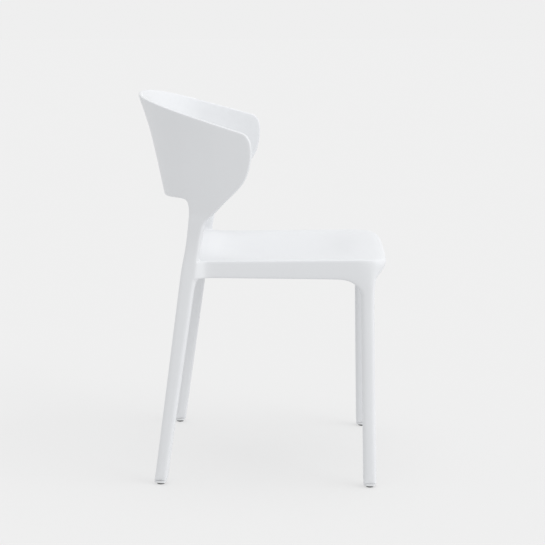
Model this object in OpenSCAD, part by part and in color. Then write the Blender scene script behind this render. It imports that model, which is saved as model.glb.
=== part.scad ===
// Stacking chair: a one-piece plastic moulding on four plugged and padded feet.
// +Z is up, the sitter faces -Y, the sitter's right is -X; the origin is on the floor, centred.
// Members are placed with at(v, u, z): v is out from the middle, u forward from the back's
// rear-most point, z up from the floor. Each right-hand member is mirrored for the left.

/* [Overall] */
// Height of the back's highest point
overall_h = 775; // [750:1:800]
// Depth from the back's rear-most point to the seat's front lip
overall_d = 510; // [502:1:518]
// Width across the wing tips
overall_w = 530; // [516:1:544]

/* [Back] */
// Wall of the backrest
shell_t = 9; // [7:0.5:11]
// How far the back leans, from its lower edge to its top
back_lean = 57; // [44:1:66]
// Height of the backrest's lower edge
back_low_z = 575; // [565:1:580]
// Height at which the wings flow into the rear legs
wing_joint_z = 545; // [538:1:550]

/* [Seat] */
// Height of the seat's side edges
seat_h = 458; // [452:1:464]
// Width across the side rails
seat_w = 412; // [404:1:418]
// Width of a rail
rail_w = 26; // [22:1:30]
// Height of a rail
rail_h = 40; // [36:1:44]
// Wall of the seat panel
panel_t = 6; // [5:0.5:8]
// Depth of the dish in the seat
dish = 9; // [4:1:12]

/* [Legs] */
// Rear leg, front to back, at the seat
rear_leg_top = 31; // [28:1:36]
// Rear leg, front to back, at the foot
rear_leg_foot = 25; // [23:1:30]
// Front leg, front to back
front_leg_d = 26; // [24:1:30]
// Legs, side to side
leg_w = 26; // [24:1:28]

/* [Feet] */
// Diameter of a glide pad
pad_d = 15.5; // [14:0.5:18]
// Height of a glide pad
pad_h = 4; // [3:0.5:5]
// Height of a foot plug's flange
flange_h = 5; // [4:0.5:6]
// Diameter of a foot plug's stem
stem_d = 14; // [12:0.5:15]
// Depth of the socket for the stem
socket_h = 24; // [18:1:30]

/* [Hidden] */

plastic = "white";
pad_colour = [0.08, 0.08, 0.09];

rail_out = seat_w / 2;             // outer face of a side rail
rail_in = rail_out - rail_w;       // inner face of a side rail
rail_low = seat_h - rail_h;        // underside of the rails
foot_z = pad_h + flange_h;         // where the moulded legs end

// plan of the back's top edge, from the middle to a wing tip, as [v, u]
tip_v = overall_w / 2 + 2.2;       // the wings lean in by the difference at their widest
back_u = 3;                        // the rim flares back by a little more than this
plan = [[0, back_u], [0.63 * tip_v, back_u], [0.84 * tip_v, 40], [tip_v, 244]];
side_lean = 8;                     // lean of the wings, whose walls stand almost upright
rim_flare = 0.17;                  // share of the lean that lies in the flare under the rim
rim_short = 0.13;                  // and how quickly that flare runs out
panel_end = 0.64;                  // where along the plan the panel becomes a wing
lean_h = 210;                      // height over which the back has its whole lean
top_fall = 0.288;                  // fall of the top edge for each unit forward
low_rise = 2;                      // the lower edge rises this much towards the legs
low_rise_run = 40;                 // over this depth
low_fillet_u = 95;                 // from here the lower edge turns down into the leg
leg_front_u = 165.5;               // front edge of the leg at the wing joint
wing_rise = 75;                    // rise of the wing's lower edge on its way forward
wing_bow = 12;                     // and how much it bows up on the way
nose_drop = 38;                    // fall of the top edge round the wing's nose
nose_lift = 45;                    // rise of the lower edge round the wing's nose
edge_r = 3;                        // rounding of the thin edges
low_wall = 2;                      // the panel is this much thicker at its lower edge
thick_from_u = 92;                 // the wall thickens towards the leg from here
thick_run = 30;                    // over this depth
thin_run = 60;                     // and thins again over this depth in front of the leg

// rear leg: rear edge and rake, seen from the side
rear_u0 = 52.3;                    // where its rear edge would meet the floor
rear_rake = 0.1255;                // run forward for each unit of height
leg_back_u = rear_u0 + rear_rake * wing_joint_z;   // its rear edge at the wing joint
spread_early = 0.3;                // share of the leg's spread that grows slowly from the seat
spread_late = 18;                  // the rest comes quickly just below the wing, by this power
waist = 3.5;                       // the leg is this much slimmer just above the seat
waist_z = 490;
waist_h = 60;                      // half height of the slim stretch
rear_foot = [227, 65];             // plan place of the rear feet
front_foot = [220, 485];           // plan place of the front feet
rear_twist_top = 26;               // plan turn of the leg section at the wing joint
rear_twist_foot = 8;               // and at the floor
rear_thick_top = 17;               // wall of the leg at the wing joint
rear_seat_v = 221;                 // outer face of the leg at the seat
rear_swell = 4.8;                  // and this much further out at the wing joint
rear_shift = 1.2;                  // and this much further forward

// front leg
knee_u = 410;                      // the side rail ends here
front_rake = 0.0275;               // run forward towards the floor
front_back_u = 462;                // rear edge of the front leg under the seat
front_u = front_back_u + front_leg_d;              // and its front edge
knee_z = 371;                      // the knee has turned into the leg here
knee_top = 0.3;                    // share of the turn where the knee meets the panel's end
knee_low = 0.8;                    // and where it meets the lip's lower edge
lip_back = [front_u - 36, seat_h];                 // the lip joins the knee between these
lip_under = [front_u - 1, seat_h - 38];

back_start = back_u + lean_at(0, overall_h - edge_r);      // u of the back's rear-most point
lip_u = back_start + overall_d;    // front-most point of the seat's lip
mid_u = back_start + overall_d / 2;
lip_corner_u = 463;                // the lip starts to wrap round its corner here
lip_corner = 3.2;                  // squareness of the lip's plan corners
rear_rise = 16;                    // how far the seat's rear edge curls up
rear_edge_u = 110;                 // rear edge of the seat
side_fall = 5;                     // the seat's sides fall this much towards the rear
side_fall_u = 450;                 // starting here
side_fall_run = 250;               // over this depth
dish_rear = [130, 110];            // the dish starts here and deepens over this depth
dish_front = [470, 90];            // and ends here, over this depth
curl_front = [195, 85];            // the rear curl starts here and rises over this depth
curl_v = 198;                      // half width of the curl

// ---- functions -------------------------------------------------------------------------
function at(v, u, z) = [-v, mid_u - u, z];
function unit(p) = p / norm(p);
function mix(a, b, k) = a + (b - a) * k;
function clamp(k) = max(0, min(1, k));
function smooth(k) = let (c = clamp(k)) c * c * (3 - 2 * c);
function bulge(k, power) = 1 - sqrt(max(0, 1 - pow(clamp(k), power)));

function bezier(p, t) = pow(1 - t, 3) * p[0] + 3 * pow(1 - t, 2) * t * p[1]
    + 3 * (1 - t) * t * t * p[2] + t * t * t * p[3];
function bezier_way(p, t) = unit(pow(1 - t, 2) * (p[1] - p[0])
    + 2 * (1 - t) * t * (p[2] - p[1]) + t * t * (p[3] - p[2]));

// rounded rectangle, w along the first axis and t along the second
arc_steps = 4;
function rounded(w, t, r) = [for (q = [0:3]) for (i = [0:arc_steps])
    let (a = 90 * q + 90 * i / arc_steps,
         cx = (q == 0 || q == 3 ? 1 : -1) * (w / 2 - r),
         cy = (q < 2 ? 1 : -1) * (t / 2 - r))
    [cx + r * cos(a), cy + r * sin(a)]];

// skin through equal rings, closed by flat ends; the ends of a plate are closed by quads between
// its two sides, which the ring lists one after the other
module loft(rings, plate = false) {
    n = len(rings[0]);
    m = len(rings);
    sides = [for (k = [0:m - 2]) for (i = [0:n - 1])
        let (a = k * n + i, b = k * n + (i + 1) % n)
        each [[a, b, b + n], [a, b + n, a + n]]];
    ends = plate ? [for (i = [0:n / 2 - 2]) each let (j = n - 1 - i, far = (m - 1) * n)
            [[j, j - 1, i + 1, i], [far + i, far + i + 1, far + j - 1, far + j]]]
        : [[for (i = [n - 1:-1:0]) i], [for (i = [0:n - 1]) (m - 1) * n + i]];
    polyhedron(points = [for (r = rings) each r], faces = concat(ends, sides));
}

// ---- back ------------------------------------------------------------------------------
// inward direction in plan, at t along the plan curve
function inward(t) = let (w = bezier_way(plan, t)) [-w[1], w[0]];
function lean(t) = let (n = inward(t)) back_lean * n[1] * n[1] + side_lean * n[0] * n[0];
function foot_u(t) = bezier(plan, t)[1] + inward(t)[1] * lean(t);   // u of the lower edge

// how far the outer face stands in from the top edge, at height z
function low_at(t, z) = (top_line(bezier(plan, t)[1]) - z) / lean_h;
function lean_at(t, z) = let (k = low_at(t, z))
    lean(t) * ((1 - rim_flare) * k + rim_flare * (1 - exp(-k / rim_short)));
function top_line(u) = overall_h - top_fall * (u - back_u);          // before the nose is rounded
function top_z(t) = let (u = bezier(plan, t)[1])
    top_line(u) - nose_drop * bulge((u - leg_front_u) / (plan[3][1] - leg_front_u), 11);
function low_z(t) = let (u = foot_u(t))
    u < leg_back_u ? back_low_z + low_rise * smooth((u - back_lean) / low_rise_run)
        - (back_low_z + low_rise - wing_joint_z)
            * bulge((u - low_fillet_u) / (leg_back_u - low_fillet_u), 5)
    : u < leg_front_u ? wing_joint_z
    : let (w = (u - leg_front_u) / (foot_u(1) - leg_front_u))
        wing_joint_z + (wing_rise + wing_bow * (1 - w)) * w + nose_lift * bulge(w, 8);

// wall thickness: thin at the top, fuller where the leg takes over
function wall(t, k) =
    let (near = smooth((foot_u(t) - thick_from_u) / thick_run)
        * (1 - smooth((foot_u(t) - leg_front_u) / thin_run)))
    shell_t + smooth(k) * mix(low_wall, rear_thick_top - shell_t, near);

// upright section of the back at t, outer face up, inner face down
rows = 9;
function back_ring(t) =
    let (p = bezier(plan, t), n = inward(t), zt = top_z(t), zl = low_z(t),
         e = min(edge_r, (zt - zl) / 4),
         put = function (d, z) at(p[0] + n[0] * d, p[1] + n[1] * d, z),
         outer = [for (i = [0:rows]) let (z = mix(zl + e, zt - e, i / rows)) [lean_at(t, z), z]],
         inner = [for (i = [rows:-1:0]) let (z = mix(zl + e, zt - e, i / rows))
             [lean_at(t, z) + wall(t, low_at(t, z)), z]])
    concat([for (q = outer) put(q[0], q[1])],
        [put(outer[rows][0] + e, zt), put(inner[0][0] - e, zt)],
        [for (q = inner) put(q[0], q[1])],
        [put(inner[rows][0] - e, zl), put(outer[0][0] + e, zl)]);
module backrest_panel() {
    steps = 14;
    right = [for (i = [0:steps]) back_ring(panel_end * i / steps)];
    left = [for (i = [steps:-1:1]) [for (p = right[i]) [-p[0], p[1], p[2]]]];
    color(plastic) loft(concat(left, right));
}

module wing() {
    // stations crowd towards the nose, where the outline turns quickly
    steps = 26;
    stations = [for (i = [0:steps]) let (k = i / steps) mix(panel_end, 1, k * (1.6 - 0.6 * k))];
    loft([for (t = stations) back_ring(t)]);
}
module wing_right() { color(plastic) wing(); }
module wing_left() { color(plastic) mirror([1, 0, 0]) wing(); }

// ---- legs ------------------------------------------------------------------------------
function leg_rise(z) = clamp((z - seat_h) / (wing_joint_z - seat_h));
function slim(z) = let (k = min(1, abs(z - waist_z) / waist_h)) waist * pow(1 - k * k, 2);
function rear_back(z) = rear_u0 + rear_rake * z + slim(z) + rear_shift * smooth(leg_rise(z));
function spread(k) = mix(pow(k, spread_late), pow(k, 2), spread_early);
// the leg's depth: a straight taper to the seat, then it spreads forward into the wing
function rear_depth(z) = mix(rear_leg_foot, rear_leg_top, clamp(z / seat_h)) - slim(z)
    + ((leg_front_u - leg_back_u) / cos(rear_twist_top) - rear_leg_top) * spread(leg_rise(z));
function rear_thick(z) = mix(leg_w, rear_thick_top, smooth(leg_rise(z)));
function rear_twist(z) = mix(rear_twist_foot, rear_twist_top, smooth(leg_rise(z)));
// outer face of the leg at its middle: splayed to the foot, then following the wing's wall
function rear_out(z) = mix(rear_foot[0] + leg_w / 2, rear_seat_v, clamp(z / seat_h))
    + rear_swell * smooth(leg_rise(z));
function rear_mid(z) = [rear_out(z) - rear_thick(z) / 2, rear_back(z) + rear_depth(z) / 2];
function rear_ring(z) =
    let (a = rear_twist(z), c = rear_mid(z))
    [for (q = rounded(rear_depth(z), rear_thick(z), min(8, rear_thick(z) / 2.4)))
        at(c[0] + q[0] * sin(a) + q[1] * cos(a), c[1] + q[0] * cos(a) - q[1] * sin(a), z)];
// planes of the leg's front face, as u at (v, z), and of its inner face, as v at (u, z)
function rear_front_at(v, z) = let (a = rear_twist(z), c = rear_mid(z), d = rear_depth(z) / 2)
    c[1] + d * cos(a) - tan(a) * (v - c[0] - d * sin(a));
function rear_inner_at(u, z) = let (a = rear_twist(z), c = rear_mid(z), t = rear_thick(z) / 2)
    c[0] - t * cos(a) + tan(a) * (u - c[1] - t * sin(a));

module rear_leg() {
    steps = 12;
    straight = [for (z = [foot_z, 120, 240, 340, 400]) z];
    spread = [for (i = [0:steps]) mix(420, wing_joint_z, i / steps)];
    difference() {
        loft([for (z = concat(straight, spread)) rear_ring(z)]);
        socket(rear_foot);
    }
}
module rear_leg_right() { color(plastic) rear_leg(); }
module rear_leg_left() { color(plastic) mirror([1, 0, 0]) rear_leg(); }

// blind bore for a foot plug's stem
module socket(foot) {
    translate(at(foot[0], foot[1], foot_z - 1)) cylinder(d = stem_d, h = socket_h + 1, $fn = 48);
}

// outer face of the front leg and of the rail above it
function front_out(z) = mix(front_foot[0] + leg_w / 2, rail_out, clamp(z / rail_low));
function front_back(z) = front_back_u + front_rake * (knee_z - z);

// knee sections from the end of the rail round to the leg, each between an inner and an outer point
function knee_inner(k) = let (a = 90 * k)
    [mix(knee_u, front_back_u, sin(a)), mix(knee_z, rail_low, cos(a))];
function knee_outer(k) =
    k < knee_top ? [mix(knee_u, lip_back[0], k / knee_top), seat_h]
    : k < knee_low ? mix(lip_back, lip_under, (k - knee_top) / (knee_low - knee_top))
    : mix(lip_under, [front_u, knee_z], (k - knee_low) / (1 - knee_low));
function knee_ring(k) =
    let (i = knee_inner(k), o = knee_outer(k), mid = (i + o) / 2, way = unit(o - i),
         w = mix(rail_w, leg_w, k))
    [for (q = rounded(norm(o - i), w, 4)) let (z = mid[1] + q[0] * way[1])
        at(front_out(z) - w / 2 + q[1], mid[0] + q[0] * way[0], z)];
function front_ring(z) =
    [for (q = rounded(front_leg_d, leg_w, 6))
        at(front_out(z) - leg_w / 2 + q[1], front_back(z) + front_leg_d / 2 + q[0], z)];

module front_leg() {
    turns = [0, 0.15, knee_top, 0.4, 0.5, 0.65, knee_low, 0.9, 1];
    knee = [for (k = turns) knee_ring(k)];
    shin = [for (z = [300, 200, 100, foot_z]) front_ring(z)];
    difference() {
        loft(concat(knee, shin));
        socket(front_foot);
    }
}
module front_leg_right() { color(plastic) front_leg(); }
module front_leg_left() { color(plastic) mirror([1, 0, 0]) front_leg(); }

// ---- seat ------------------------------------------------------------------------------
// height of the rails' top line, which climbs a little towards the front
function side_top(u) = seat_h - side_fall * clamp((side_fall_u - u) / side_fall_run);
// the seat's upper surface: dished in the middle, curled up along its rear edge
function seat_top(v, u) = side_top(u)
    - dish * (1 - pow(clamp(abs(v) / rail_in), 2.5))
        * smooth((u - dish_rear[0]) / dish_rear[1]) * smooth((dish_front[0] - u) / dish_front[1])
    + rear_rise * (1 - pow(clamp(abs(v) / curl_v), 3)) * smooth((curl_front[0] - u) / curl_front[1]);

module side_rail() {
    flare = [18, 16];              // length and width of the sweep out to the rear leg
    steps = 5;
    top = side_top(rear_edge_u + 40);
    rings = [for (i = [0:steps])
        let (a = 90 * i / steps, s = flare[0] * (1 - cos(a)), w = rail_w + flare[1] * (1 - sin(a)))
        [for (q = rounded(top - rail_low, w, 3))
            let (z = (top + rail_low) / 2 + q[0], v = rail_in + w / 2 + q[1])
            at(v, rear_front_at(v, z) + s, z)]];
    straight = [for (u = [190, 260, 340, knee_u])
        [for (q = rounded(side_top(u) - rail_low, rail_w, 3))
            at(rail_in + rail_w / 2 + q[1], u, (side_top(u) + rail_low) / 2 + q[0])]];
    loft(concat(rings, straight));
}
module side_rail_right() { color(plastic) side_rail(); }
module side_rail_left() { color(plastic) mirror([1, 0, 0]) side_rail(); }

// cross rail between the rear legs, with the seat's curled rear edge on top
module rear_rail() {
    spans = [-1, -0.94, -0.86, -0.7, -0.5, -0.25, 0, 0.25, 0.5, 0.7, 0.86, 0.94, 1];
    r = 4;
    rings = [for (s = spans)
        let (v0 = 196 * s,
             zt = seat_top(v0, rear_edge_u + 4),
             outline = [[0, rail_low + r], [r, rail_low], [1 - r, rail_low], [1, rail_low + r],
                 [1, seat_top(v0, 140)], [r, zt], [0, zt - r]])
        [for (q = outline)
            let (z = q[1], uf = rear_front_at(max(abs(v0), rail_in - 6), min(z, seat_h)),
                 u = q[0] == 1 ? uf : q[0] < 0 ? uf - r : rear_edge_u + q[0],
                 v = abs(s) == 1 ? sign(s) * rear_inner_at(u, min(z, seat_h)) : v0)
            at(v, u, z)]];
    color(plastic) loft(rings);
}

// the panel meets the rear rail behind and the lip in front
module seat_panel() {
    stations = [0, 0.05, 0.11, 0.19, 0.30, 0.45, 0.64, 0.82, 0.93, 1];
    n = 12;
    first = rear_front_at(rail_in - 6, seat_h);
    rings = [for (s = stations) let (u = mix(first, lip_back[0], s))
        concat([for (i = [0:n]) let (v = rail_in * (1 - 2 * i / n)) at(v, u, seat_top(v, u))],
            [for (i = [n:-1:0]) let (v = rail_in * (1 - 2 * i / n)) at(v, u, seat_top(v, u) - panel_t)])];
    color(plastic) loft(rings, plate = true);
}

// front lip: rolls over in front of the knees and wraps round the plan corners
function lip_front(v) = lip_corner_u
    + (lip_u - lip_corner_u) * pow(1 - pow(abs(v) / rail_out, lip_corner), 1 / lip_corner);
// the lip's section at v, as steps back from its front and down from the seat's top
lip_roll = [[9, 0], [3.5, 2.5], [0, 9], [0.5, 15], [5, 24]];
function lip_ring(v) =
    let (uf = lip_front(v), u = min(lip_under[0], uf - 3),
         under = mix(lip_back, lip_under, (u - lip_back[0]) / (lip_under[0] - lip_back[0])))
    [for (q = concat([under, lip_back], [for (p = lip_roll) [uf - p[0], seat_h - p[1]]]))
        at(v, q[0], q[1])];
module front_apron() {
    half = [203, 200, 195, 186, 172, 150, 110, 60];
    spans = concat([for (v = half) -v], [0], [for (i = [len(half) - 1:-1:0]) half[i]]);
    color(plastic) loft([for (v = spans) lip_ring(v)]);
}

// ---- feet ------------------------------------------------------------------------------
module foot_plug(foot, w, twist) {
    rib_h = 1.2;
    translate(at(foot[0], foot[1], 0)) difference() {
        union() {
            translate([0, 0, pad_h]) linear_extrude(flange_h)
                rotate(twist) polygon(rounded(leg_w, w, 6));
            translate([0, 0, foot_z]) cylinder(d = stem_d - 0.8, h = socket_h - 1, $fn = 48);
            for (i = [0:2]) translate([0, 0, foot_z + 4 + 6 * i]) cylinder(d = stem_d, h = rib_h, $fn = 48);
        }
        translate([0, 0, pad_h - 1]) cylinder(d = 8, h = 8, $fn = 40);
    }
}
module foot_plug_rear_right() { color(plastic) foot_plug(rear_foot, rear_leg_foot, rear_twist_foot); }
module foot_plug_rear_left() {
    color(plastic) mirror([1, 0, 0]) foot_plug(rear_foot, rear_leg_foot, rear_twist_foot);
}
module foot_plug_front_right() { color(plastic) foot_plug(front_foot, front_leg_d, 0); }
module foot_plug_front_left() { color(plastic) mirror([1, 0, 0]) foot_plug(front_foot, front_leg_d, 0); }

// soft pad with a rounded rim and a spigot that holds it in the plug
module glide_pad(foot) {
    rim = 1.2;
    translate(at(foot[0], foot[1], 0)) rotate_extrude($fn = 64) polygon(concat(
        [[0, 0], [pad_d / 2 - rim, 0]],
        [for (a = [-60:30:0]) [pad_d / 2 - rim + rim * cos(a), rim + rim * sin(a)]],
        [[pad_d / 2, pad_h], [4, pad_h], [4, pad_h + 6.5], [0, pad_h + 6.5]]));
}
module glide_pad_rear_right() { color(pad_colour) glide_pad(rear_foot); }
module glide_pad_rear_left() { color(pad_colour) mirror([1, 0, 0]) glide_pad(rear_foot); }
module glide_pad_front_right() { color(pad_colour) glide_pad(front_foot); }
module glide_pad_front_left() { color(pad_colour) mirror([1, 0, 0]) glide_pad(front_foot); }

backrest_panel();
wing_right();
wing_left();
rear_leg_right();
rear_leg_left();
side_rail_right();
side_rail_left();
front_leg_right();
front_leg_left();
front_apron();
rear_rail();
seat_panel();
foot_plug_rear_right();
foot_plug_rear_left();
foot_plug_front_right();
foot_plug_front_left();
glide_pad_rear_right();
glide_pad_rear_left();
glide_pad_front_right();
glide_pad_front_left();
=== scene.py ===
import bpy
import bmesh
from math import cos, exp, radians, sin, sqrt
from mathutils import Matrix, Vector


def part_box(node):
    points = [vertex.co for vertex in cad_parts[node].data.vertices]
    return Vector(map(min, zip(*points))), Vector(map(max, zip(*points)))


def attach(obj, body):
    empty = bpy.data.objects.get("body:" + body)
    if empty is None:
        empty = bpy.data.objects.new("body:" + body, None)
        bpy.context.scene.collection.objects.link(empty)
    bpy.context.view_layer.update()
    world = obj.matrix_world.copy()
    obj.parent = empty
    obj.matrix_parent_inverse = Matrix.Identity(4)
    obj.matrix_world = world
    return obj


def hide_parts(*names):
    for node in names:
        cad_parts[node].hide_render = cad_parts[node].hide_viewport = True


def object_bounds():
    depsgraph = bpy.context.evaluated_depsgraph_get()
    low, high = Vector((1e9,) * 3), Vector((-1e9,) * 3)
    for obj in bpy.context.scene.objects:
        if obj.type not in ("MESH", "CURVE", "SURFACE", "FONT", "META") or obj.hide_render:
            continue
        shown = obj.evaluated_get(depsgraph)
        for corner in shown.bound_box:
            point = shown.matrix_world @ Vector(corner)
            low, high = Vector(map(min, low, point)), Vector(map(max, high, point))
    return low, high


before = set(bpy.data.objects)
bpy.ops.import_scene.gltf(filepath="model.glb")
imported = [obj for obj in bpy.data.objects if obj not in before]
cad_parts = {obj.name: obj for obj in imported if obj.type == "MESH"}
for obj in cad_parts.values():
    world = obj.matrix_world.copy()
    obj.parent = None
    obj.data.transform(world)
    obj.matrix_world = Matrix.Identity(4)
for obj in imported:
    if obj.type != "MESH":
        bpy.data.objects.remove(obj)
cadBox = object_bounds()

# the chair stands on z = 0, the sitter faces -Y, and it is the same on both sides of x = 0.
# spots are given as (v, u, z): v out from the middle, u forward from just behind the back
behind = 0.0047                    # u starts this far behind the back
nearby = 1e-5                      # spots closer than this are the same spot
rearY = cadBox[1][1] + behind


def at(v, u, z):
    return Vector((v, rearY - u, z))


def mix(a, b, k):
    return a + (b - a) * k


def clamp(k):
    return max(0.0, min(1.0, k))


def smooth(k):
    k = clamp(k)
    return k * k * (3 - 2 * k)


def bulge(k, power):
    # rises slowly from 0 and steeply to 1, like a quarter of a squared-off circle
    return 1 - sqrt(max(0.0, 1 - clamp(k) ** power))


# ---------- helpers for work in edit mode

def deselectAll():
    if bpy.context.object and bpy.context.object.mode == "EDIT":
        bpy.ops.object.mode_set(mode="OBJECT")
    bpy.ops.object.select_all(action="DESELECT")


def editMesh():
    return bmesh.from_edit_mesh(bpy.context.object.data)


def pickFaces(test):
    # selects the faces whose middle passes the test
    bpy.ops.mesh.select_mode(type="FACE")
    bpy.ops.mesh.select_all(action="DESELECT")
    for face in editMesh().faces:
        face.select_set(test(face.calc_center_median()))
    bmesh.update_edit_mesh(bpy.context.object.data)


def pickOn(*groups):
    # selects the faces that have all their corners on one group of spots
    bpy.ops.mesh.select_mode(type="FACE")
    bpy.ops.mesh.select_all(action="DESELECT")
    for face in editMesh().faces:
        for group in groups:
            if all(min((c.co - spot).length for spot in group) < nearby for c in face.verts):
                face.select_set(True)
                break
    bmesh.update_edit_mesh(bpy.context.object.data)


def place(now, then):
    # each selected corner that stands on now[name] goes to then[name]
    mesh = editMesh()
    for corner in mesh.verts:
        if corner.select:
            corner.co = then[min(now, key=lambda name: (now[name] - corner.co).length)]
    mesh.normal_update()
    bmesh.update_edit_mesh(bpy.context.object.data)


def pull(now, *steps):
    # extrudes the selection once for each step, and returns the last one
    for then in steps:
        bpy.ops.mesh.extrude_region_move()
        place(now, then)
        now = then
    return now


def finishMesh(piece, levels, angle=180):
    # subdivides, closes and shades a piece, and puts its place in its mesh
    deselectAll()
    bpy.context.view_layer.objects.active = piece
    piece.select_set(True)
    bpy.ops.object.transform_apply(location=True, rotation=True, scale=True)
    if levels:
        bpy.ops.object.modifier_add(type="SUBSURF")
        piece.modifiers[-1].levels = piece.modifiers[-1].render_levels = levels
        bpy.ops.object.modifier_apply(modifier=piece.modifiers[-1].name)
    bpy.ops.object.mode_set(mode="EDIT")
    bpy.ops.mesh.select_all(action="SELECT")
    bpy.ops.mesh.normals_make_consistent(inside=False)
    bpy.ops.object.mode_set(mode="OBJECT")
    bpy.ops.object.shade_smooth()
    if angle < 180:
        bpy.ops.object.shade_smooth_by_angle(angle=radians(angle))


# ---------- the back: a leaning wall that follows a curve in plan

back = {
    "top": cadBox[1][2],           # height of the highest point
    "tip": cadBox[1][0] + 0.0022,  # half width of the wings before they lean in
    "reach": 0.244,                # how far forward the wings come
    "lean": 0.057,                 # lean in the middle, from the lower edge to the top
    "sideLean": 0.008,             # lean of the wings
    "leanHeight": 0.210,
    "flare": 0.17,                 # share of the lean that lies in the flare under the rim
    "flareHeight": 0.13,           # and how quickly that flare runs out
    "start": 0.003,                # depth at which the rim starts in the middle
    "fall": 0.288,                 # fall of the top edge on its way forward
    "wall": 0.009,
    "lowWall": 0.011,
    "lowEdge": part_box("backrest_panel")[0][2],
    "lowRise": 0.002,              # the lower edge rises this much towards the legs
    "lowRiseRun": 0.040,           # over this depth
    "jointHeight": 0.545,          # the legs flow into the back here
    "jointWall": 0.017,
    "jointFront": 0.1655,
    "thickFrom": (0.092, 0.030),   # the wall thickens towards the leg from here, over this depth
    "thinRun": 0.060,              # and thins again over this depth in front of it
    "wingRise": 0.075,             # rise of the wing's lower edge on its way forward
    "wingBow": 0.012,              # and how much it bows up on the way
    "noseLift": 0.045,             # rise of the lower edge round the wing's nose
    "nosePower": 8,                # and how late on the way it comes
}
plan = [(0, back["start"]), (0.63 * back["tip"], back["start"]), (0.84 * back["tip"], 0.040),
        (back["tip"], back["reach"])]


def planAt(t):
    w = ((1 - t) ** 3, 3 * (1 - t) ** 2 * t, 3 * (1 - t) * t * t, t ** 3)
    return [sum(a * p[i] for a, p in zip(w, plan)) for i in (0, 1)]


def inward(t):
    w = ((1 - t) ** 2, 2 * (1 - t) * t, t * t)
    way = [sum(a * (plan[k + 1][i] - plan[k][i]) for k, a in enumerate(w)) for i in (0, 1)]
    size = sqrt(way[0] ** 2 + way[1] ** 2)
    return -way[1] / size, way[0] / size


def topLine(u):
    return back["top"] - back["fall"] * (u - back["start"])


def belowTop(t, z):
    return (topLine(planAt(t)[1]) - z) / back["leanHeight"]


def leanAt(t, z):
    n, k = inward(t), belowTop(t, z)
    share = (1 - back["flare"]) * k + back["flare"] * (1 - exp(-k / back["flareHeight"]))
    return (back["lean"] * n[1] ** 2 + back["sideLean"] * n[0] ** 2) * share


def footDepth(t):
    # how far forward the lower edge stands
    n = inward(t)[1]
    return planAt(t)[1] + n * back["lean"] * n ** 2


def wallAt(t, z):
    # thin at the top, fuller where the leg takes over
    u = footDepth(t)
    thickFrom, thickRun = back["thickFrom"]
    near = smooth((u - thickFrom) / thickRun) * (1 - smooth((u - back["jointFront"]) / back["thinRun"]))
    low = mix(back["lowWall"], back["jointWall"], near)
    return mix(back["wall"], low, smooth(belowTop(t, z)))


def outerSpot(t, z):
    p, n, d = planAt(t), inward(t), leanAt(t, z)
    return at(p[0] + n[0] * d, p[1] + n[1] * d, z)


def innerSpot(t, z):
    p, n, d = planAt(t), inward(t), leanAt(t, z) + wallAt(t, z)
    return at(p[0] + n[0] * d, p[1] + n[1] * d, z)


def planFor(u, z, end=1.1, halvings=40):
    # where along the plan, or just past its end, the outer face passes u at height z
    low, high = 0.0, end
    for step in range(halvings):
        t = (low + high) / 2
        if planAt(t)[1] + inward(t)[1] * leanAt(t, z) < u:
            low = t
        else:
            high = t
    return low


# ---------- the legs

seat = {
    "height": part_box("front_leg_left")[1][2],
    "out": 0.206,                  # outer face of the side rails
    "inner": 0.180,                # and their inner face
    "railLow": 0.418,              # underside of the rails
    "panel": 0.006,
    "dish": 0.009,
    "dishPower": 2.5,              # squareness of the dish from side to side
    "dishRear": (0.130, 0.110),    # it starts here and deepens over this depth
    "dishFront": (0.470, 0.090),   # and ends here, over this depth
    "curl": 0.016,                 # the rear edge curls up this much
    "curlOut": 0.198,              # half width of the curl
    "curlPower": 3,
    "curlFront": (0.195, 0.085),   # it starts here and rises over this depth
    "sideFall": 0.005,             # the sides fall this much towards the rear
    "sideFallFrom": (0.450, 0.250),  # from here, over this depth
    "legDepth": 0.120,             # the rear legs pass the seat about here
    "sideStep": 0.011,             # the first row of faces down the outer sides
    "rearStep": 0.012,             # and down the rear edge
    "sideProud": {13: 0.0020, 14: 0.0030},   # rows in which that step stands out as well
    "lipDrop": (0.0005, 0.0030),   # fall of the lip's last two rows
    "lipProud": 0.0042,            # its face bulges this much
    "lipMiddle": 0.4465,           # at this height
}
legs = {
    "end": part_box("rear_leg_left")[0][2],     # the moulded legs stop here, on their plugs
    "width": 0.026,
    "rearFootOut": 0.240,
    "rearSeatOut": 0.221,
    "rearStart": 0.0523,
    "rearRake": 0.1255,
    "waist": 0.0035,                          # it is this much slimmer just above the seat
    "waistHeight": 0.490,
    "waistSpan": 0.060,                       # half height of the slim stretch
    "rearDepthFoot": 0.025,
    "rearDepthSeat": 0.031,
    "spread": 0.0188,                         # how much deeper the rear leg is at the wing
    "spreadPowers": (18, 2),                  # most of that comes late, and a share of it early
    "spreadEarly": 0.3,
    "turn": (8, 26),                          # its plan turn at the floor and at the wing
    "swell": (0.0048, 0.0012),                # how far out and forward it steps at the wing
    "frontFootOut": 0.233,
    "frontBack": 0.462,
    "frontRake": 0.0275,
    "frontDepth": 0.026,
    "frontStrip": 0.010,                      # the outer column of its faces
    "kneeLow": 0.371,
    "endStep": 0.0005,                        # a last short ring holds the end's edge
    "frontRings": (0.300, 0.200, 0.100),
    "rearRings": (0.370, 0.280, 0.190, 0.100),
    "neckRings": (0.472, 0.498, 0.522, 0.537),
}
legs["endRings"] = (legs["end"] + legs["endStep"], legs["end"])


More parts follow.
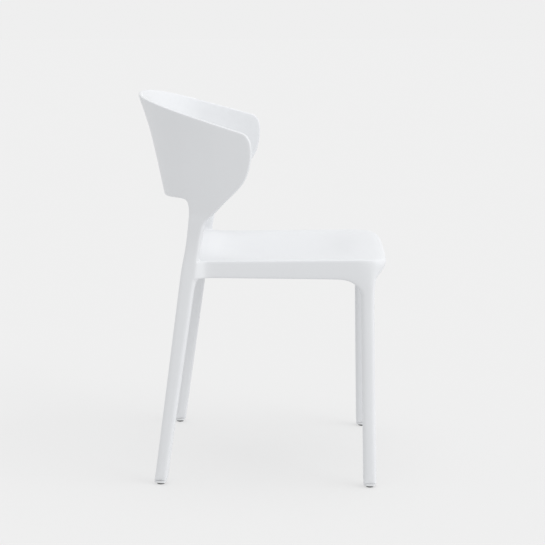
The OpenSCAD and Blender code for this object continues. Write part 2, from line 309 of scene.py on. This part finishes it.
def rearLeg(z):
    # corners of the rear leg at height z
    rise = (z - seat["height"]) / (back["jointHeight"] - seat["height"])
    turn = radians(mix(*legs["turn"], smooth(rise)))
    down = clamp(z / seat["height"])
    slim = legs["waist"] * (1 - min(1, abs(z - legs["waistHeight"]) / legs["waistSpan"]) ** 2) ** 2
    late, early = [clamp(rise) ** power for power in legs["spreadPowers"]]
    depth = (mix(legs["rearDepthFoot"], legs["rearDepthSeat"], down) - slim
             + legs["spread"] * mix(late, early, legs["spreadEarly"]))
    thick = mix(legs["width"], back["jointWall"], smooth(rise))
    v = mix(legs["rearFootOut"], legs["rearSeatOut"], down) + legs["swell"][0] * smooth(rise) - thick / 2
    u = legs["rearStart"] + legs["rearRake"] * z + slim + legs["swell"][1] * smooth(rise) + depth / 2
    corners = {}
    for name, a, b in (("rearOut", -1, 1), ("frontOut", 1, 1), ("frontIn", 1, -1), ("rearIn", -1, -1)):
        p, q = a * depth / 2, b * thick / 2
        corners[name] = at(v + p * sin(turn) + q * cos(turn), u + p * cos(turn) - q * sin(turn), z)
    return corners


def frontLeg(z):
    # corners of the front leg at height z, as (column, row) of the seat's grid
    out = mix(legs["frontFootOut"], seat["out"], clamp(z / seat["railLow"]))
    u = legs["frontBack"] + legs["frontRake"] * (legs["kneeLow"] - z)
    return {(c, r): at(out - step, u + ahead, z)
            for c, step in ((4, legs["width"]), (5, legs["frontStrip"]), (6, 0))
            for r, ahead in ((12, 0), (13, legs["frontDepth"]))}


# ---------- the seat, as a grid of columns outwards and rows forward

columns = [0, 0.060, 0.118, 0.156, 0.180, 0.196, 0.206]
rows = [0.108, 0.142, 0.155, 0.168, 0.185, 0.225, 0.275, 0.330, 0.378, 0.412, 0.430, 0.446,
        0.462, 0.488, 0.500, 0.512]
lastColumn, lastRow = len(columns) - 1, len(rows) - 1
lipBack = [(0, 0.4995), (0.060, 0.4995), (0.108, 0.4990), (0.138, 0.4980), (0.160, 0.4966),
           (0.179, 0.4946), (0.1955, 0.4925)]
lipEdge = [(0, 0.5118), (0.060, 0.5116), (0.108, 0.5108), (0.136, 0.5096), (0.155, 0.5080),
           (0.171, 0.5054), (0.184, 0.5010)]
wrapped = {(6, 13): (0.2015, 0.4820), (5, 13): (0.1920, 0.4865)}     # the lip leaves the sides here
flare = {(6, 2): (0.2145, 0.1455), (6, 3): (0.2090, 0.1520), (6, 4): (0.2063, 0.1640),
         (5, 2): (0.1970, 0.1510), (5, 3): (0.1962, 0.1610), (5, 4): (0.1960, 0.1770)}
legCorners = {(5, 0): "rearIn", (5, 1): "frontIn", (6, 0): "rearOut", (6, 1): "frontOut"}


def sideTop(u):
    start, run = seat["sideFallFrom"]
    return seat["height"] - seat["sideFall"] * clamp((start - u) / run)


def seatTop(v, u):
    rear, rearRun = seat["dishRear"]
    front, frontRun = seat["dishFront"]
    curled, curlRun = seat["curlFront"]
    across = 1 - clamp(v / seat["inner"]) ** seat["dishPower"]
    dip = seat["dish"] * across * smooth((u - rear) / rearRun) * smooth((front - u) / frontRun)
    curl = seat["curl"] * (1 - clamp(v / seat["curlOut"]) ** seat["curlPower"])
    curl *= smooth((curled - u) / curlRun)
    return sideTop(u) - dip + curl


def topSpot(c, r):
    if (c, r) in legCorners:
        return rearLeg(sideTop(seat["legDepth"]))[legCorners[c, r]]
    if r == lastRow:
        return at(*lipEdge[c], seat["height"] - seat["lipDrop"][1])
    if r == lastRow - 1:
        return at(*lipBack[c], seat["height"] - seat["lipDrop"][0])
    v, u = flare.get((c, r), wrapped.get((c, r), (columns[c], rows[r])))
    return at(v, u, seatTop(v, u))


def lowSpot(c, r):
    # the panel's underside, and half way down the outer sides
    if (c, r) in legCorners:
        return rearLeg(sideTop(seat["legDepth"]) - seat["sideStep"])[legCorners[c, r]]
    spot = topSpot(c, r)
    if r == lastRow:
        nextTo = lipEdge[c + 1] if c < lastColumn else lipBack[c]
        before = lipEdge[c - 1] if c else (-lipEdge[1][0], lipEdge[1][1])
        way = Vector((nextTo[0] - before[0], nextTo[1] - before[1])).normalized()
        v, u = lipEdge[c][0] - way[1] * seat["lipProud"], lipEdge[c][1] + way[0] * seat["lipProud"]
        return at(v, u, seat["lipMiddle"])
    if c == lastColumn:
        proud = seat["sideProud"].get(r, 0)
        return Vector((spot.x + proud, spot.y - proud / 2, spot.z - seat["sideStep"]))
    return spot - Vector((0, 0, seat["panel"] if r else seat["rearStep"]))


kneeHeights = {9: 0.4178, 10: 0.4170, 11: 0.4110, 12: 0.3970, 13: 0.4155, 14: 0.4225, 15: 0.4325}


def baseSpot(c, r):
    # the underside of the frame: rear rail, side rails, knees and apron
    if (c, r) in legCorners:
        return rearLeg(seat["railLow"])[legCorners[c, r]]
    if (c, r) in wrapped:
        return at(columns[c], rows[r], kneeHeights[r])
    spot = topSpot(c, r)
    return Vector((spot.x, spot.y, kneeHeights.get(r, seat["railLow"])))


deselectAll()
bpy.ops.mesh.primitive_grid_add(x_subdivisions=lastColumn, y_subdivisions=lastRow, size=2)
moulding = bpy.context.object
moulding.name = "chair_moulding"
bpy.ops.object.mode_set(mode="EDIT")
bpy.ops.mesh.select_all(action="SELECT")
grid = [(c, r) for c in range(len(columns)) for r in range(len(rows))]
flat = {(c, r): Vector((2 * c / lastColumn - 1, 1 - 2 * r / lastRow, 0)) for c, r in grid}
top = {name: topSpot(*name) for name in grid}
low = {name: lowSpot(*name) for name in grid}
base = {name: baseSpot(*name) for name in grid}
place(flat, top)
pull(top, low)


def block(spots, columnRange, rowRange):
    return [spots[c, r] for c in columnRange for r in rowRange]


# the frame goes down below the panel: rear rail, side rails and lip
pickOn(block(low, range(len(columns)), (0, 1)), block(low, (4, 5, 6), range(1, 14)),
       block(low, range(len(columns)), (13, 14, 15)))
pull(low, base)

pickOn(block(base, (4, 5, 6), (12, 13)))
pull({n: base[n] for n in base if n[0] >= 4 and n[1] in (12, 13)},
     *[frontLeg(z) for z in (legs["kneeLow"], *legs["frontRings"], *legs["endRings"])])

pickOn(block(base, (5, 6), (0, 1)))
pull({legCorners[n]: base[n] for n in legCorners},
     *[rearLeg(z) for z in (*legs["rearRings"], *legs["endRings"])])
print("moulding: seat, rails and legs done")

# ---------- the rear leg goes up into the back

tRear = planFor(legs["rearStart"] + legs["rearRake"] * back["jointHeight"], back["jointHeight"])
tFront = planFor(back["jointFront"], back["jointHeight"])
rearHeights = [back["jointHeight"], 0.574, 0.614, 0.653, 0.694, topLine(planAt(tRear)[1])]
frontHeights = [back["jointHeight"], 0.572, 0.604, 0.640, 0.680, topLine(planAt(tFront)[1])]
riser = [{"rearOut": outerSpot(tRear, a), "rearIn": innerSpot(tRear, a),
          "frontOut": outerSpot(tFront, b), "frontIn": innerSpot(tFront, b)}
         for a, b in zip(rearHeights, frontHeights)]
pickOn([top[n] for n in legCorners])
pull({legCorners[n]: top[n] for n in legCorners},
     *[rearLeg(z) for z in legs["neckRings"]], *riser)

# the panel grows from the riser's rear side to the middle
panelRows = [0, 0.222, 0.456, 0.702, 1]
panelColumns = [0.94, 0.86, 0.76, 0.64, 0.50, 0.34, 0.17, 0]


def panelSpots(t):
    bottom = back["lowEdge"] + back["lowRise"] * smooth((footDepth(t) - back["lean"]) / back["lowRiseRun"])
    spots = {}
    for k, share in enumerate(panelRows, 1):
        z = mix(bottom, topLine(planAt(t)[1]), share)
        spots[k, "out"], spots[k, "in"] = outerSpot(t, z), innerSpot(t, z)
    return spots


start = {(k, side): riser[k]["rear" + side.capitalize()] for k in range(1, 6) for side in ("out", "in")}
pickOn(list(start.values()))
pull(start, *[panelSpots(tRear * share) for share in panelColumns])

# the wing grows from its front side, and its rows close round the nose
nose = [(0.2360, 0.6270), (0.2425, 0.6470), (0.2456, 0.6670), (0.2452, 0.6845), (0.2416, 0.6968),
        (0.2322, 0.7060)]
wingColumns = [0.24, 0.48, 0.70, 0.88, 1]


def lowLine(u):
    w = (u - back["jointFront"]) / (back["reach"] - back["jointFront"])
    return (back["jointHeight"] + (back["wingRise"] + back["wingBow"] * (1 - w)) * w
            + back["noseLift"] * bulge(w, back["nosePower"]))


def wingSpots(share):
    # each row runs straight to its spot on the nose, moved so that the end rows follow the wing's edges
    corner = [(rearY - riser[k]["frontOut"].y, riser[k]["frontOut"].z) for k in range(6)]
    uLow, uTop = mix(corner[0][0], nose[0][0], share), mix(corner[5][0], nose[5][0], share)
    lowEnd, topEnd = (uLow, lowLine(uLow)), (uTop, topLine(uTop))
    spots = {}
    for k in range(6):
        g = k / 5
        u, z = [mix(corner[k][i], nose[k][i], share) + mix(lowEnd[i], topEnd[i], g)
                - mix(mix(corner[0][i], nose[0][i], share), mix(corner[5][i], nose[5][i], share), g)
                for i in (0, 1)]
        t = planFor(u, z)
        spots[k, "out"], spots[k, "in"] = outerSpot(t, z), innerSpot(t, z)
    return spots


start = {(k, side): riser[k]["front" + side.capitalize()] for k in range(6) for side in ("out", "in")}
pickOn(list(start.values()))
pull(start, *[wingSpots(share) for share in wingColumns])

# the right half
pickFaces(lambda middle: abs(middle.x) < nearby)
bpy.ops.mesh.delete(type="FACE")
bpy.ops.object.mode_set(mode="OBJECT")
bpy.ops.object.modifier_add(type="MIRROR")
moulding.modifiers[-1].use_clip = True
bpy.ops.object.modifier_apply(modifier=moulding.modifiers[-1].name)

# edges are rounded by what they belong to, which their height tells
rounding = {"leg": 0.0080, "rail": 0.0030, "shell": 0.0032, "corner": radians(48)}
zones = {
    "legEnd": legs["end"] + 0.001,             # edges down here are left as they are
    "underRails": seat["railLow"] - 0.012,
    "overSeat": seat["height"] + 0.005,
    "overRails": seat["height"] + 0.030,
    "underWing": back["jointHeight"] - 0.030,
}
bpy.ops.object.mode_set(mode="EDIT")
bpy.ops.mesh.select_all(action="SELECT")
bpy.ops.mesh.normals_make_consistent(inside=False)
mesh = editMesh()
weights = mesh.edges.layers.float.new("bevel_weight_edge")
for edge in mesh.edges:
    if len(edge.link_faces) == 2 and edge.calc_face_angle() > rounding["corner"] and edge.is_convex:
        a, b = edge.verts[0].co, edge.verts[1].co
        z = (a.z + b.z) / 2
        if max(a.z, b.z) < zones["legEnd"]:
            continue
        if z < zones["underRails"] or zones["overSeat"] < z < zones["underWing"]:
            size = "leg"
        elif z < zones["overRails"]:
            size = "rail"
        else:
            size = "shell"
        edge[weights] = rounding[size] / rounding["leg"]
bmesh.update_edit_mesh(moulding.data)
bpy.ops.object.mode_set(mode="OBJECT")
bpy.ops.object.modifier_add(type="BEVEL")
bevel = moulding.modifiers[-1]
bevel.width = rounding["leg"]
bevel.segments = 2
bevel.limit_method = "WEIGHT"
bevel.use_clamp_overlap = False
bpy.ops.object.modifier_apply(modifier=bevel.name)
finishMesh(moulding, 2)
print("moulding: done,", len(moulding.data.polygons), "faces")

# ---------- the feet: a plug pressed into each leg, and a turned pad held in its bore

feet = {
    "round": 32,                   # corners in a ring
    "cornerRound": 0.0085,
    "shy": 0.0006,                 # the flange stands in from the leg's full width by this
    "chamfer": 0.0007,
    "seam": 0.0002,                # the fine line where the flange meets the leg
    "stem": 0.0066,
    "rib": 0.0070,
    "ribs": (0.013, 0.019, 0.025),
    "ribHeight": 0.0012,
    "ribEdge": 0.0002,
    "bore": 0.0040,
    "boreTop": 0.0110,
    "padRim": 0.0012,
    "padHollow": (0.45, 0.50),     # a shallow hollow under the pad: its floor and its edge, of the radius
    "hollowHeight": 0.0003,
    "play": 0.0001,                # of the pad's spigot in the bore
    "crease": 35,                  # edges sharper than this stay sharp
}


def ring(spot, radius, z):
    quarter = feet["round"] // 4
    spots = {}
    for i in range(feet["round"]):
        a = radians(90 * (i // quarter) + 90 * (i % quarter + 0.5) / quarter)
        spots[i] = Vector((spot.x + radius * cos(a), spot.y + radius * sin(a), z))
    return spots


def outline(spot, width, depth, turn, inset, z):
    # a rounded rectangle with as many corners as a ring
    quarter = feet["round"] // 4
    r = feet["cornerRound"] - inset
    spots = {}
    for i in range(feet["round"]):
        q, a = i // quarter, radians(90 * (i // quarter) + 90 * (i % quarter) / (quarter - 1))
        x = (width / 2 - feet["cornerRound"]) * (1 if q in (0, 3) else -1) + r * cos(a)
        y = (depth / 2 - feet["cornerRound"]) * (1 if q < 2 else -1) + r * sin(a)
        spots[i] = Vector((spot.x + x * cos(turn) - y * sin(turn),
                           spot.y + x * sin(turn) + y * cos(turn), z))
    return spots


def startRing(name, spots):
    deselectAll()
    bpy.ops.mesh.primitive_circle_add(vertices=feet["round"], radius=1, fill_type="NGON")
    piece = bpy.context.object
    piece.name = name
    bpy.ops.object.mode_set(mode="EDIT")
    bpy.ops.mesh.select_all(action="SELECT")
    angles = [radians(360 * i / feet["round"]) for i in range(feet["round"])]
    place({i: Vector((cos(a), sin(a), 0)) for i, a in enumerate(angles)}, spots)
    return piece


def footPlug(name, turn, depth):
    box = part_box(name)
    spot = (Vector(box[0]) + Vector(box[1])) / 2
    low, high, cut = box[0][2], legs["end"], feet["chamfer"]
    shape = (spot, legs["width"] - 2 * feet["shy"], depth - 2 * feet["shy"], turn)
    ribs = []
    for z in feet["ribs"]:
        end = z + feet["ribHeight"]
        ribs += [ring(spot, feet["stem"], z), ring(spot, feet["rib"], z + feet["ribEdge"]),
                 ring(spot, feet["rib"], end), ring(spot, feet["stem"], end + feet["ribEdge"])]
    start = ring(spot, feet["bore"], feet["boreTop"])
    piece = startRing(name + "_look", start)
    pull(start, ring(spot, feet["bore"], low), outline(*shape, cut, low), outline(*shape, 0, low + cut),
         outline(*shape, 0, high - feet["seam"]), outline(*shape, feet["seam"], high),
         ring(spot, feet["stem"], high),
         *ribs, ring(spot, feet["stem"], box[1][2] - cut), ring(spot, feet["stem"] - cut, box[1][2]))
    finishMesh(piece, 0, feet["crease"])
    return piece


def glidePad(name):
    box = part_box(name)
    spot = (Vector(box[0]) + Vector(box[1])) / 2
    radius, rim, edge = (box[1][0] - box[0][0]) / 2, feet["padRim"], feet["padRim"] / 3
    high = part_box(name.replace("glide_pad", "foot_plug"))[0][2]
    spigot, tip = feet["bore"] - feet["play"], box[1][2]
    start = ring(spot, radius * feet["padHollow"][0], feet["hollowHeight"])
    piece = startRing(name + "_look", start)
    turns = [ring(spot, radius - rim + rim * cos(radians(a)), rim + rim * sin(radians(a)))
             for a in range(-90, 1, 18)]
    pull(start, ring(spot, radius * feet["padHollow"][1], 0), *turns, ring(spot, radius, high - edge),
         ring(spot, radius - edge, high), ring(spot, spigot, high), ring(spot, spigot, tip - edge),
         ring(spot, spigot - edge, tip))
    finishMesh(piece, 0, feet["crease"])
    return piece


plugs, pads = {}, {}
for end, turn, depth in (("rear", legs["turn"][0], legs["rearDepthFoot"]),
                         ("front", 0, legs["frontDepth"])):
    for side, way in (("right", -1), ("left", 1)):
        name = end + "_" + side
        plugs[name] = footPlug("foot_plug_" + name, radians(turn) * way, depth)
        pads[name] = glidePad("glide_pad_" + name)
print("feet: done")

# ---------- materials

class Sock:
    # a socket that can be used in sums
    def __init__(self, tree, socket):
        self.tree, self.socket = tree, socket

    def math(self, operation, a, b):
        return self.tree.node("ShaderNodeMath", {"operation": operation}, {0: a, 1: b})

    def __add__(self, other):
        return self.math("ADD", self, other)

    def __mul__(self, other):
        return self.math("MULTIPLY", self, other)

    __radd__, __rmul__ = __add__, __mul__


class Maker:
    # a new material and its principled shader
    def __init__(self, name, **constants):
        self.material = bpy.data.materials.new(name)
        self.material.use_nodes = True
        self.nodes, self.links = self.material.node_tree.nodes, self.material.node_tree.links
        self.shader = next(n for n in self.nodes if n.type == "BSDF_PRINCIPLED")
        for socket, value in constants.items():
            self.shader.inputs[socket.replace("_", " ")].default_value = value
        self.place = self.node("ShaderNodeTexCoord", {}, {}, "Object")

    def node(self, kind, settings, inputs, output=0):
        made = self.nodes.new(kind)
        for name, value in settings.items():
            if name == "stops":
                while len(made.color_ramp.elements) < len(value):
                    made.color_ramp.elements.new(0.5)
                for stop, (spot, colour) in zip(made.color_ramp.elements, value):
                    stop.position, stop.color = spot, colour
            else:
                setattr(made, name, value)
        self.feed(made, inputs)
        return Sock(self, made.outputs[output])

    def feed(self, node, inputs):
        for name, value in inputs.items():
            if isinstance(value, Sock):
                self.links.new(value.socket, node.inputs[name])
            else:
                node.inputs[name].default_value = value

    def noise(self, scale, detail=2.0, rough=0.5):
        return self.node("ShaderNodeTexNoise", {}, {"Vector": self.place, "Scale": scale, "Detail": detail,
                                                   "Roughness": rough})

    def ramp(self, value, *stops):
        return self.node("ShaderNodeValToRGB", {"stops": stops}, {"Fac": value})

    def bump(self, height, distance, strength=1.0):
        return self.node("ShaderNodeBump", {},
                         {"Height": height, "Distance": distance, "Strength": strength})

    def finish(self, **inputs):
        self.feed(self.shader, {name.replace("_", " "): value for name, value in inputs.items()})
        return self.material


def mouldedPlastic(name, light, dark, grainSize):
    # satin polypropylene: a fine spark-eroded grain and the faint flow of the moulding
    m = Maker(name, IOR=1.49, Specular_IOR_Level=0.45)
    flow = m.noise(5.0, 3.0)
    grain = m.noise(1 / grainSize, 2.0, 0.6)
    colour = m.ramp(flow * 0.8 + grain * 0.2, (0.30, dark), (0.70, light))
    rough = 0.40 + flow * 0.10 + grain * 0.08
    return m.finish(Base_Color=colour, Roughness=rough, Normal=m.bump(grain + flow * 0.5, 0.00012, 0.6))


def glideRubber(name):
    # dark filled rubber, dusty where it has slid
    m = Maker(name, IOR=1.52, Specular_IOR_Level=0.35)
    dust = m.noise(160.0, 4.0, 0.6)
    grain = m.noise(1500.0)
    colour = m.ramp(dust, (0.42, (0.012, 0.012, 0.014, 1)), (0.78, (0.060, 0.058, 0.056, 1)))
    return m.finish(Base_Color=colour, Roughness=0.55 + dust * 0.30, Normal=m.bump(grain, 0.0001, 0.7))


white = mouldedPlastic("white_polypropylene", (0.712, 0.724, 0.742, 1), (0.692, 0.704, 0.722, 1), 0.0012)
plugWhite = mouldedPlastic("plug_polypropylene", (0.700, 0.710, 0.725, 1), (0.670, 0.680, 0.695, 1), 0.0009)
rubber = glideRubber("glide_rubber")
moulding.data.materials.append(white)
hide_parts("backrest_panel", "wing_right", "wing_left", "rear_leg_right", "rear_leg_left",
            "side_rail_right", "side_rail_left", "front_leg_right", "front_leg_left", "front_apron",
            "rear_rail", "seat_panel")
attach(moulding, "root")
for name, piece in plugs.items():
    piece.data.materials.append(plugWhite)
    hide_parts("foot_plug_" + name)
    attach(piece, "root")
for name, piece in pads.items():
    piece.data.materials.append(rubber)
    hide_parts("glide_pad_" + name)
    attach(piece, "root")

# ---------- floor, light and camera

studio = {
    "floor": 0.270,
    "floorRadius": 45,
    "mottle": 0.004,
    "floorPaintedGlow": 0.540,            # painted light: the floor glows though it is no lamp, so shadows on it stay faint
    "world": 0.862,                # the seamless pale surround
    # two wide soft windows of light: strength, spread in degrees, and where each stands
    "overhead": (0.61, 60, (0, -0.15, 1)),
    "front": (1.05, 50, (-0.27, -0.86, 0.45)),
    "eye": (-3.025, -0.0893, 0.941),
    "lookAlong": (0.982, 0.063, -0.178),
    "lens": 95.9,
    "shift": 0.110,
    "sensor": 36,
}
deselectAll()
bpy.ops.mesh.primitive_circle_add(vertices=64, radius=studio["floorRadius"], fill_type="NGON")
floor = bpy.context.object
floor.name = "studio_floor"
# the floor's emission is painted light: the floor glows by itself, which fills in and fades the shadows on
# it
paper = Maker("floor_paper", Roughness=0.9, Specular_IOR_Level=0.0, Emission_Color=(1, 1, 1, 1),
              Emission_Strength=studio["floorPaintedGlow"])
paper.finish(Base_Color=paper.ramp(paper.noise(2.0), (0.0, (studio["floor"],) * 3 + (1,)),
                                   (1.0, (studio["floor"] + studio["mottle"],) * 3 + (1,))))
floor.data.materials.append(paper.material)

world = bpy.data.worlds.new("studio")
world.use_nodes = True
sky = next(n for n in world.node_tree.nodes if n.type == "BACKGROUND")
sky.inputs["Color"].default_value = (1, 1, 1, 1)
sky.inputs["Strength"].default_value = studio["world"]
bpy.context.scene.world = world

for name in ("overhead", "front"):
    strength, spread, way = studio[name]
    light = bpy.data.lights.new(name, "SUN")
    light.energy, light.angle = strength, radians(spread)
    window = bpy.data.objects.new(name, light)
    window.rotation_euler = Vector(way).to_track_quat("Z", "Y").to_euler()
    bpy.context.scene.collection.objects.link(window)

lens = bpy.data.cameras.new("camera")
lens.sensor_width, lens.lens, lens.shift_x = studio["sensor"], studio["lens"], studio["shift"]
camera = bpy.data.objects.new("camera", lens)
camera.location = studio["eye"]
camera.rotation_euler = Vector(studio["lookAlong"]).to_track_quat("-Z", "Y").to_euler()
bpy.context.scene.collection.objects.link(camera)
bpy.context.scene.camera = camera
bpy.context.scene.view_settings.view_transform = "Standard"
print("studio: done")
